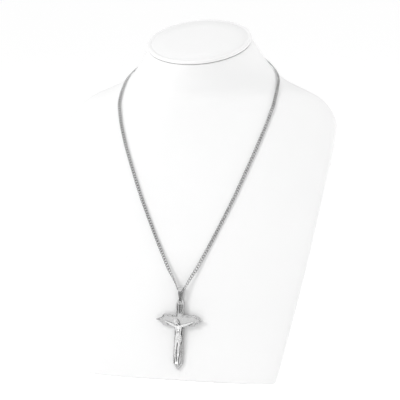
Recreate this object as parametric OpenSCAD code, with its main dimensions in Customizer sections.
// Crucifix pendant on a curb chain, shown on a plain neck bust.
// Millimetres. +Z is up, the chest faces -Y, and the origin is the centre of the base.

/* [Bust] */

// Height of the middle of the neck's top above the table
bust_h = 272; // [240:1:320]
// Width over the shoulders
bust_w = 240; // [210:1:280]
// Depth that the bust's front and back forms are shares of
bust_d = 152; // [130:1:180]
// Diameter of the neck at its top
neck_d = 89; // [80:1:105]
// Forward slant of the neck's top
neck_lean = 19; // [10:1:25]

/* [Neck cap] */

// Thickness of the disc that closes the neck
cap_t = 3; // [2:0.5:6]
// How far the disc stands out past the neck
cap_lip = 0.6; // [0:0.1:2]

/* [Chain] */

// Thickness of the chain, links lying flat
chain_d = 2.1; // [1.6:0.1:2.4]
// Length of the plain barrel clasp behind the neck
clasp_len = 13; // [10:0.5:20]
// Outside diameter of the clasp
clasp_d = 4.4; // [4.2:0.1:6]

/* [Bail] */

// Height of the bail's hinge in the chain above the table
hang_z = 73.1; // [66:0.1:85]
// Thickness of the folded sheet
bail_t = 0.5; // [0.4:0.05:0.7]
// Width of the bail at its top
bail_w = 4.4; // [3.6:0.1:4.8]
// Width of the bail where it goes through the cross
bail_tip_w = 1.5; // [1.2:0.1:1.7]
// Distance between the centres of the bail's two bends
bail_len = 7.9; // [5:0.1:8.5]

/* [Cross] */

// Height of the cross from tip to tip
cross_h = 59.5; // [54:0.5:62]
// Width of the cross from tip to tip
cross_w = 40.8; // [36:0.2:46]
// Distance from the top tip down to the middle of the arms
crossing = 18.2; // [17:0.1:20]
// Width of the two side arms
arm_w = 10; // [9:0.1:11.5]
// Width of the upper and lower arms
post_w = 7.3; // [7:0.1:8.5]
// Thickness of the plate under the border
plate_t = 1.5; // [1.2:0.1:1.8]
// Width of the raised border
border_w = 1; // [0.7:0.1:1.2]
// Height of the raised border
border_h = 0.6; // [0.4:0.1:0.8]
// Depth of the notches between the scallops of each edge
scallop = 0.6; // [0.2:0.1:0.8]
// Diameter of the hole for the bail
hole_d = 2.4; // [2.2:0.1:2.6]
// Width of the bare plaque above the figure
plaque_w = 2.8; // [2.4:0.1:3.2]

/* [Figure] */

// Height of the figure from crown to toe
figure_h = 38; // [34:0.5:39]
// Distance between the two hands
arm_span = 22.8; // [20:0.2:24]
// Diameter of the pins behind the hands and feet
pin_d = 0.7; // [0.5:0.1:0.8]
// How far the pins reach into the figure
pin_hold = 0.8; // [0.6:0.1:1]

/* [Fit] */

// Gap between neighbouring hard pieces
gap = 0.25; // [0.2:0.05:0.4]
// Gap between a pin and its hole, all round
pin_gap = 0.1; // [0.08:0.01:0.15]

/* [Hidden] */

// Sections of the bust from the base to the neck. Height is a share of bust_h, wide of half
// bust_w, lean of neck_lean, and front, side and back of bust_d. Neck is the share of the
// neck's radius that is added to the width and to the two reaches. Side places the widest line.
H = 0;
NECK = 1;
WIDE = 2;
FRONT = 3;
SIDE = 4;
BACK = 5;
LEAN = 6;
bust_rows = [
  // height, neck, wide, front, side, back, lean
  [0.000, 0.00, 0.680, 0.056, -0.216, 0.488, 0.00],
  [0.080, 0.00, 0.725, 0.058, -0.175, 0.475, 0.00],
  [0.185, 0.00, 0.780, 0.060, -0.119, 0.456, 0.00],
  [0.290, 0.00, 0.834, 0.063, -0.061, 0.433, 0.00],
  [0.395, 0.00, 0.884, 0.066, -0.004, 0.403, 0.00],
  [0.500, 0.00, 0.928, 0.073, 0.065, 0.364, 0.00],
  [0.595, 0.00, 0.966, 0.103, 0.153, 0.323, 0.05],
  [0.675, 0.00, 0.996, 0.156, 0.253, 0.288, 0.10],
  [0.738, 0.00, 1.000, 0.209, 0.344, 0.266, 0.20],
  [0.783, 0.00, 0.952, 0.247, 0.412, 0.256, 0.32],
  [0.825, 0.30, 0.735, 0.174, 0.450, 0.168, 0.47],
  [0.871, 0.75, 0.330, 0.042, 0.456, 0.048, 0.64],
  [0.927, 0.93, 0.130, 0.005, 0.434, 0.014, 0.84],
  [1.000, 1.00, 0.000, 0.000, 0.378, 0.000, 1.00]
];

// Way of the right half of the chain over the bust, from the bail to behind the neck
// Row counts along bust_rows, turn runs from 90 in front through 0 at the side to -90 behind,
// and lift is the extra distance from the bust.
chain_rows = [
  // row, turn, lift
  [3.12, 87.1, 1.8],
  [3.38, 85.1, 1.2],
  [3.70, 83, 0.4],
  [4.20, 79.7, 0],
  [5.35, 72.7, 0],
  [6.75, 66.7, 0],
  [7.65, 63.8, 0],
  [8.60, 60.6, 0],
  [9.40, 56.4, 0],
  [10.05, 49.9, 0],
  [10.60, 37.2, 0],
  [11.00, 22, 0],
  [11.30, 6, 0],
  [11.52, -10, 0],
  [11.72, -26, 0],
  [11.88, -44, 0],
  [11.98, -66, 0.2],
  [12.00, -90, 1.2]
];

// Roundness of the bust's sections: 2 is an ellipse, more is squarer
front_round = 2.3;
back_round = 1.75;
// Rings made for each row, and sides of each ring
bust_steps = 3;
bust_sides = 60;
// Straight pieces made for each row of the chain, and sides of its tube
chain_steps = 2;
chain_sides = 8;

neck_r = neck_d / 2;
chain_r = chain_d / 2;
last_row = len(bust_rows) - 1;

function mix(a, b, f) = a + (b - a) * f;

// Smooth curve through a list of rows, at a place counted in rows
function row_at(rows, i) =
  i < 0 ? 2 * rows[0] - rows[1]
  : i >= len(rows) ? 2 * rows[len(rows) - 1] - rows[len(rows) - 2]
  : rows[i];
function spline(a, b, c, d, f) =
  (2 * b + (c - a) * f + (2 * a - 5 * b + 4 * c - d) * f * f
  + (3 * b - a - 3 * c + d) * f * f * f) / 2;
function smooth(rows, s) =
  let (i = min(floor(s), len(rows) - 2))
  spline(row_at(rows, i - 1), row_at(rows, i), row_at(rows, i + 1), row_at(rows, i + 2), s - i);

// One point of the bust: row along bust_rows, and turn from 90 in front to -90 behind
function bulge(v, n) = sign(v) * pow(abs(v), 2 / n);
function bust_point(row, turn) =
  let (
    r = smooth(bust_rows, row),
    n = mix(turn > 0 ? front_round : back_round, 2, r[NECK]),
    wide = r[NECK] * neck_r + r[WIDE] * bust_w / 2,
    deep = r[NECK] * neck_r + r[turn > 0 ? FRONT : BACK] * bust_d,
    reach = -bulge(sin(turn), n) * deep,
    tilt = r[LEAN] * neck_lean
  )
  [
    wide * bulge(cos(turn), n),
    r[SIDE] * bust_d + reach * cos(tilt),
    r[H] * bust_h + reach * sin(tilt)
  ];
function unit(v) = v / norm(v);
function bust_normal(row, turn) =
  let (
    up = bust_point(row + 0.1, turn) - bust_point(row - 0.1, turn),
    round = bust_point(row, turn - 2) - bust_point(row, turn + 2)
  )
  unit(cross(round, up));

// Rings of the bust, each starting at the front and going round past the right side
function ring_turn(k) = 90 - 360 * k / bust_sides;
function whole_turn(t) = t < -90 ? -180 - t : t;
function ring_point(row, k) =
  let (
    t = ring_turn(k),
    p = bust_point(row, whole_turn(t))
  )
  t < -90 ? [-p[0], p[1], p[2]] : p;
bust_rings = [
  for (j = [0:last_row * bust_steps])
    [for (k = [0:bust_sides - 1]) ring_point(j / bust_steps, k)]
];

// The chest's middle line, and its depth at a height
chest_line = [for (ring = bust_rings) [ring[0][2], ring[0][1]]];
function chest_y(z) = lookup(z, chest_line);

// The bail is a strip bent round the chain at its top and round the cross's tip below
apex_r = 3;
apex_turn = 61;
apex_steps = 6;
bail_slope = asin(bail_w / 2 / apex_r);
dip = apex_r * (1 - cos(bail_slope));
bail_in = dip / 2 + chain_r / cos(bail_slope + apex_turn / apex_steps / 2) + gap;
bail_out = bail_in + bail_t;
tip_in = plate_t / 2 + 2 * gap;
tip_out = tip_in + bail_t;

// Places on the pendant, measured down from the hinge in the chain
tip_inside = 1.6;
border_clear = 0.9;
plaque_clear = 1;
plaque_rim = 0.5;
tip_down = bail_len - tip_inside;
crossing_down = tip_down + crossing;
sheet_down = bail_len + tip_out - bail_t / 2;
toe_down = tip_down + cross_h;
border_down = bail_len + tip_out + border_clear;
plaque_down = border_down + plaque_clear;
plaque_end = crossing_down - arm_w / 2 - plaque_rim;

// The pendant leans on the chest, its back toe_clear away at the toe
toe_clear = 0.35;
bail_clear = 0.7;
near_lean = 15;
hang_y = chest_y(hang_z) - bail_out - bail_clear;
toe_z = hang_z - toe_down * cos(near_lean);
toe_y = chest_y(toe_z) - plate_t / 2 - toe_clear;
lean = atan2(hang_y - toe_y, hang_z - toe_z);
hang = [0, hang_y, hang_z];

// Path of the chain's middle: a small arc through the bail, then over the bust
facet_room = 0.2;
chain_lift = chain_r + gap + facet_room;
function lean_point(x, z) = hang + [x, z * sin(lean), z * cos(lean)];
function apex_point(t) = lean_point(apex_r * sin(t), apex_r * (1 - cos(t)) - dip / 2);
function draped(r) =
  bust_point(r[0], r[1]) + bust_normal(r[0], r[1]) * (chain_lift + r[2]);
apex_points = [for (i = [0:apex_steps]) apex_point(apex_turn * i / apex_steps)];
draped_rows = [for (r = chain_rows) draped(r)];
draped_path = [
  for (i = [0:(len(draped_rows) - 1) * chain_steps])
    smooth(draped_rows, i / chain_steps)
];
half_path = concat(apex_points, draped_path);

// Behind the neck the chain's two ends run straight into the clasp
clasp_mid = draped_rows[len(draped_rows) - 1];
clasp_hold = 3;
clasp_in = clasp_len / 2 - clasp_hold;
clasp_out = clasp_len / 2 + clasp_hold;
end_path = [for (x = [clasp_out - 2, clasp_in]) [x, clasp_mid[1], clasp_mid[2]]];
clear_path = [for (p = half_path) if (p[1] < hang_y + bust_d / 2 || p[0] > clasp_out) p];
right_path = concat(clear_path, end_path);
left_path = [for (i = [len(right_path) - 1:-1:1]) [-right_path[i][0], right_path[i][1], right_path[i][2]]];
chain_path = concat(left_path, right_path);

// Rings of a tube swept along a path
function path_dir(path, i) = unit(path[min(i + 1, len(path) - 1)] - path[max(i - 1, 0)]);
function tube_ring(path, i, r, sides) =
  let (
    d = path_dir(path, i),
    u = unit(cross(d, [0, 0, 1])),
    v = cross(d, u)
  )
  [for (k = [0:sides - 1]) path[i] + r * (cos(360 * k / sides) * u + sin(360 * k / sides) * v)];
function tube_rings(path, r, sides) =
  [for (i = [0:len(path) - 1]) tube_ring(path, i, r, sides)];

// Solid skinned over closed rings
module skin(rings) {
  sides = len(rings[0]);
  top = len(rings) - 1;
  walls = [
    for (j = [0:top - 1])
      for (k = [0:sides - 1])
        let (n = (k + 1) % sides)
        each [
          [j * sides + k, (j + 1) * sides + k, j * sides + n],
          [j * sides + n, (j + 1) * sides + k, (j + 1) * sides + n]
        ]
  ];
  first_face = [for (k = [0:sides - 1]) k];
  last_face = [for (k = [sides - 1:-1:0]) top * sides + k];
  polyhedron([for (r = rings) each r], concat(walls, [first_face], [last_face]));
}

// Arms of the cross, from its middle. Half is the half width at the crossing and flare what it
// gains by the shoulder. Point is the length of the pointed end, step the run of the slanted
// step at its shoulder, narrow the half width after the step, curve the power that shapes the
// point, lobes the number of scallops, and notch the share of scallop that its notches have.
REACH = 0;
HALF = 1;
FLARE = 2;
POINT = 3;
STEP = 4;
NARROW = 5;
CURVE = 6;
LOBES = 7;
NOTCH = 8;
post_half = post_w / 2;
arm_half = arm_w / 2;
low_reach = cross_h - crossing;
arm_start = post_half * 1.1;
// reach, half, flare, point, step, narrow, curve, lobes, notch
side_arm = [
  cross_w / 2, arm_half * 0.88, arm_half * 0.14, cross_w * 0.155,
  arm_half * 0.3, arm_half * 0.44, 0.85, 3, 1
];
top_arm = [
  crossing, post_half * 0.96, 0, crossing * 0.2,
  post_half * 0.1, post_half * 0.85, 0.5, 2, 0.5
];
low_arm = [
  low_reach, post_half * 1.03, post_half * 0.12, low_reach * 0.125,
  post_half * 0.35, post_half * 0.75, 0.8, 2, 0.4
];
scallop_steps = 24;
point_steps = 8;

function scallop_at(a, t) =
  let (along = max(t, 0.5 / a[LOBES]))
  scallop * a[NOTCH] * (1 - sqrt(abs(sin(180 * a[LOBES] * along))));
function arm_side(a, start, inset) =
  let (
    from = start - inset,
    shoulder = a[REACH] - a[POINT] - inset / 2,
    narrow = a[NARROW] - inset,
    foot = shoulder + a[STEP],
    tip = a[REACH] - 2 * inset
  )
  concat(
    [
      for (i = [0:scallop_steps])
        let (t = i / scallop_steps)
        [mix(from, shoulder, t), a[HALF] + a[FLARE] * t - inset - scallop_at(a, t)]
    ],
    [
      for (i = [0:point_steps - 1])
        let (t = i / point_steps)
        [mix(foot, tip, t), narrow * pow(1 - t, a[CURVE])]
    ]
  );
function arm_outline(a, start, inset, turn) =
  let (
    side = arm_side(a, start, inset),
    n = len(side),
    whole = concat(
      side,
      [[a[REACH] - 2 * inset, 0]],
      [for (i = [n - 1:-1:0]) [side[i][0], -side[i][1]]]
    )
  )
  [for (p = whole) [p[0] * cos(turn) - p[1] * sin(turn), p[0] * sin(turn) + p[1] * cos(turn)]];

module cross_outline(inset = 0) {
  translate([0, -crossing_down]) polygon(concat(
    arm_outline(side_arm, arm_start, inset, 0),
    arm_outline(low_arm, side_arm[HALF], inset, -90),
    arm_outline(side_arm, arm_start, inset, 180),
    arm_outline(top_arm, side_arm[HALF], inset, 90)
  ));
}

// Flat pieces of the pendant are drawn from the front and given a front and a back
module slab(front, back) {
  translate([0, back, 0]) rotate([90, 0, 0]) linear_extrude(back - front) children();
}

// Upright pendant space, with the hinge in the chain as its origin, to its place on the chest
module on_chest() {
  translate(hang) rotate([-lean, 0, 0]) children();
}

module bust_body() {
  color("white") skin(bust_rings);
}

module neck_cap() {
  r = neck_r + cap_lip;
  edge = cap_t / 6;
  neck_top = [0, bust_rows[last_row][SIDE] * bust_d, bust_h];
  color("white") translate(neck_top) rotate([neck_lean, 0, 0]) translate([0, 0, gap])
    rotate_extrude($fn = 96)
      polygon([[0, 0], [r - edge, 0], [r, edge], [r, cap_t - edge], [r - edge, cap_t], [0, cap_t]]);
}

module chain() {
  color("silver") skin(tube_rings(chain_path, chain_r, chain_sides));
}

module clasp() {
  bore_r = chain_r + gap;
  end_r = clasp_d / 2 - 0.3;
  end_bevel = 0.8;
  barrel = clasp_len - 2 * end_bevel;
  color("silver") translate(clasp_mid) rotate([0, 90, 0]) rotate_extrude($fn = 32)
    polygon([
      [bore_r, -clasp_len / 2],
      [end_r, -clasp_len / 2],
      [clasp_d / 2, -barrel / 2],
      [clasp_d / 2, barrel / 2],
      [end_r, clasp_len / 2],
      [bore_r, clasp_len / 2]
    ]);
}

// Outline round two discs, one straight below the other
module teardrop(top_r, low_r, drop) {
  a = asin((top_r - low_r) / drop);
  polygon(concat(
    [for (i = [0:32]) let (t = mix(-a, 180 + a, i / 32)) top_r * [cos(t), sin(t)]],
    [for (i = [0:24]) let (t = mix(180 + a, 360 - a, i / 24)) [0, -drop] + low_r * [cos(t), sin(t)]]
  ));
}

module bail() {
  low = -bail_len - tip_out;
  color("silver") on_chest() intersection() {
    rotate([90, 0, 90]) linear_extrude(bail_w + 1, center = true) difference() {
      teardrop(bail_out, tip_out, bail_len);
      teardrop(bail_in, tip_in, bail_len);
    }
    slab(-bail_out - 1, bail_out + 1) polygon([
      [-bail_w / 2, bail_out + 1],
      [bail_w / 2, bail_out + 1],
      [bail_w / 2, bail_out],
      [bail_tip_w / 2, low],
      [-bail_tip_w / 2, low],
      [-bail_w / 2, bail_out]
    ]);
  }
}

// Places of the pins, across and down from the hinge, on a figure drawn 40 high
figure_scale = figure_h / 40;
crown_up = 0.8;
hand_from_crown = 2.4;
foot_from_crown = 37.6;
figure_down = crossing_down - crown_up * figure_scale;
hand_down = figure_down + hand_from_crown * figure_scale;
foot_down = figure_down + foot_from_crown * figure_scale;
pin_places = [[-arm_span / 2, -hand_down], [arm_span / 2, -hand_down], [0, -foot_down]];
face_y = -plate_t / 2;

module cross_plate() {
  plaque_mid = -(plaque_down + plaque_end) / 2;
  plaque_h = plaque_end - plaque_down;
  plaque_floor = face_y - border_h / 3;
  color("silver") on_chest() difference() {
    union() {
      slab(face_y, plate_t / 2) cross_outline();
      slab(face_y - border_h, 0) difference() {
        cross_outline();
        cross_outline(border_w);
        translate([-post_w, -border_down]) square([2 * post_w, border_down]);
      }
      slab(face_y - border_h, 0) translate([0, plaque_mid])
        square([plaque_w, plaque_h], center = true);
    }
    slab(-plate_t - border_h, plaque_floor) translate([0, plaque_mid])
      square([plaque_w - 2 * plaque_rim, plaque_h - 2 * plaque_rim], center = true);
    slab(-plate_t, plate_t) translate([0, -sheet_down]) circle(d = hole_d, $fn = 48);
    slab(-plate_t, plate_t) for (p = pin_places) translate(p) circle(d = pin_d + 2 * pin_gap, $fn = 24);
  }
}

// Tapered round piece of the figure between two points
module bone(a, b, ra, rb) {
  d = b - a;
  translate(a) rotate([0, acos(d[2] / norm(d)), atan2(d[1], d[0])])
    cylinder(h = norm(d), r1 = ra, r2 = rb, $fn = 24);
}

module knob(p, r) {
  translate(p) sphere(r = r, $fn = 24);
}

// The figure: across, forward of the plate and down from the crown, in a figure 40 high
module corpus() {
  hand_x = arm_span / 2 / figure_scale;
  head = [-2.3, -2.2, -1.9];
  hips = [0, -1.7, -15];
  color("silver") on_chest() translate([0, face_y - pin_gap, -figure_down]) {
    difference() {
      scale(figure_scale) {
        knob(head, 1.5);
        knob(head + [-0.4, 0.6, 0.2], 1.7);
        bone(head + [0.2, -0.4, -0.6], head + [1, -0.5, -2], 1, 0.45);
        bone(head, [0, -1.7, -5.6], 0.8, 0.85);
        bone(head + [-1.3, 0.5, 0], [-2.4, -1.2, -4.4], 0.8, 0.5);
        bone(head + [1.2, 0.5, 0.3], [0.9, -1.2, -5], 0.8, 0.5);
        for (side = [-1, 1]) {
          shoulder = [side * 2.5, -1.9, -5.9];
          elbow = [side * 7, -1.6, -4.3];
          hand = [side * hand_x, -0.9, -hand_from_crown];
          hip = [side * 0.9, -1.6, -15];
          knee = [side * 0.8 - 0.3, -2.3, -26];
          ankle = [side * 0.6, -1.4, -35.6];
          toes = [side * 0.62, -1.05, -38.6];
          bone([side * 1.2, -1.5, -6.4], [side * 0.7, -1.3, -13], 1.5, 1.15);
          knob([side * 1.2, -1.5, -6.4], 1.52);
          bone([side * 1.2, -1.5, -6.4], shoulder, 1.2, 0.95);
          knob(shoulder, 1);
          bone(shoulder, elbow, 0.95, 0.75);
          knob(elbow, 0.78);
          bone(elbow, hand, 0.74, 0.45);
          knob(hand, 0.75);
          bone([side * 0.7, -1.3, -12.6], hip, 1.1, 1.25);
          bone(hip, knee, 1.25, 0.9);
          knob(knee, 0.97);
          bone(knee, ankle, 0.88, 0.68);
          bone(ankle, toes, 0.78, 0.7);
          knob(toes, 0.8);
        }
        bone(hips + [0, 0, 1.2], hips + [0, -0.3, -4.6], 2.2, 1.9);
        knob(hips + [2, -0.6, 0], 0.7);
      }
      translate([-figure_h, 0, -2 * figure_h]) cube([2 * figure_h, figure_h, 3 * figure_h]);
    }
    for (p = pin_places)
      translate([p[0], plate_t - pin_gap, p[1] + figure_down]) rotate([90, 0, 0])
        cylinder(h = plate_t - pin_gap + pin_hold, d = pin_d, $fn = 24);
  }
}

bust_body();
neck_cap();
chain();
clasp();
bail();
cross_plate();
corpus();
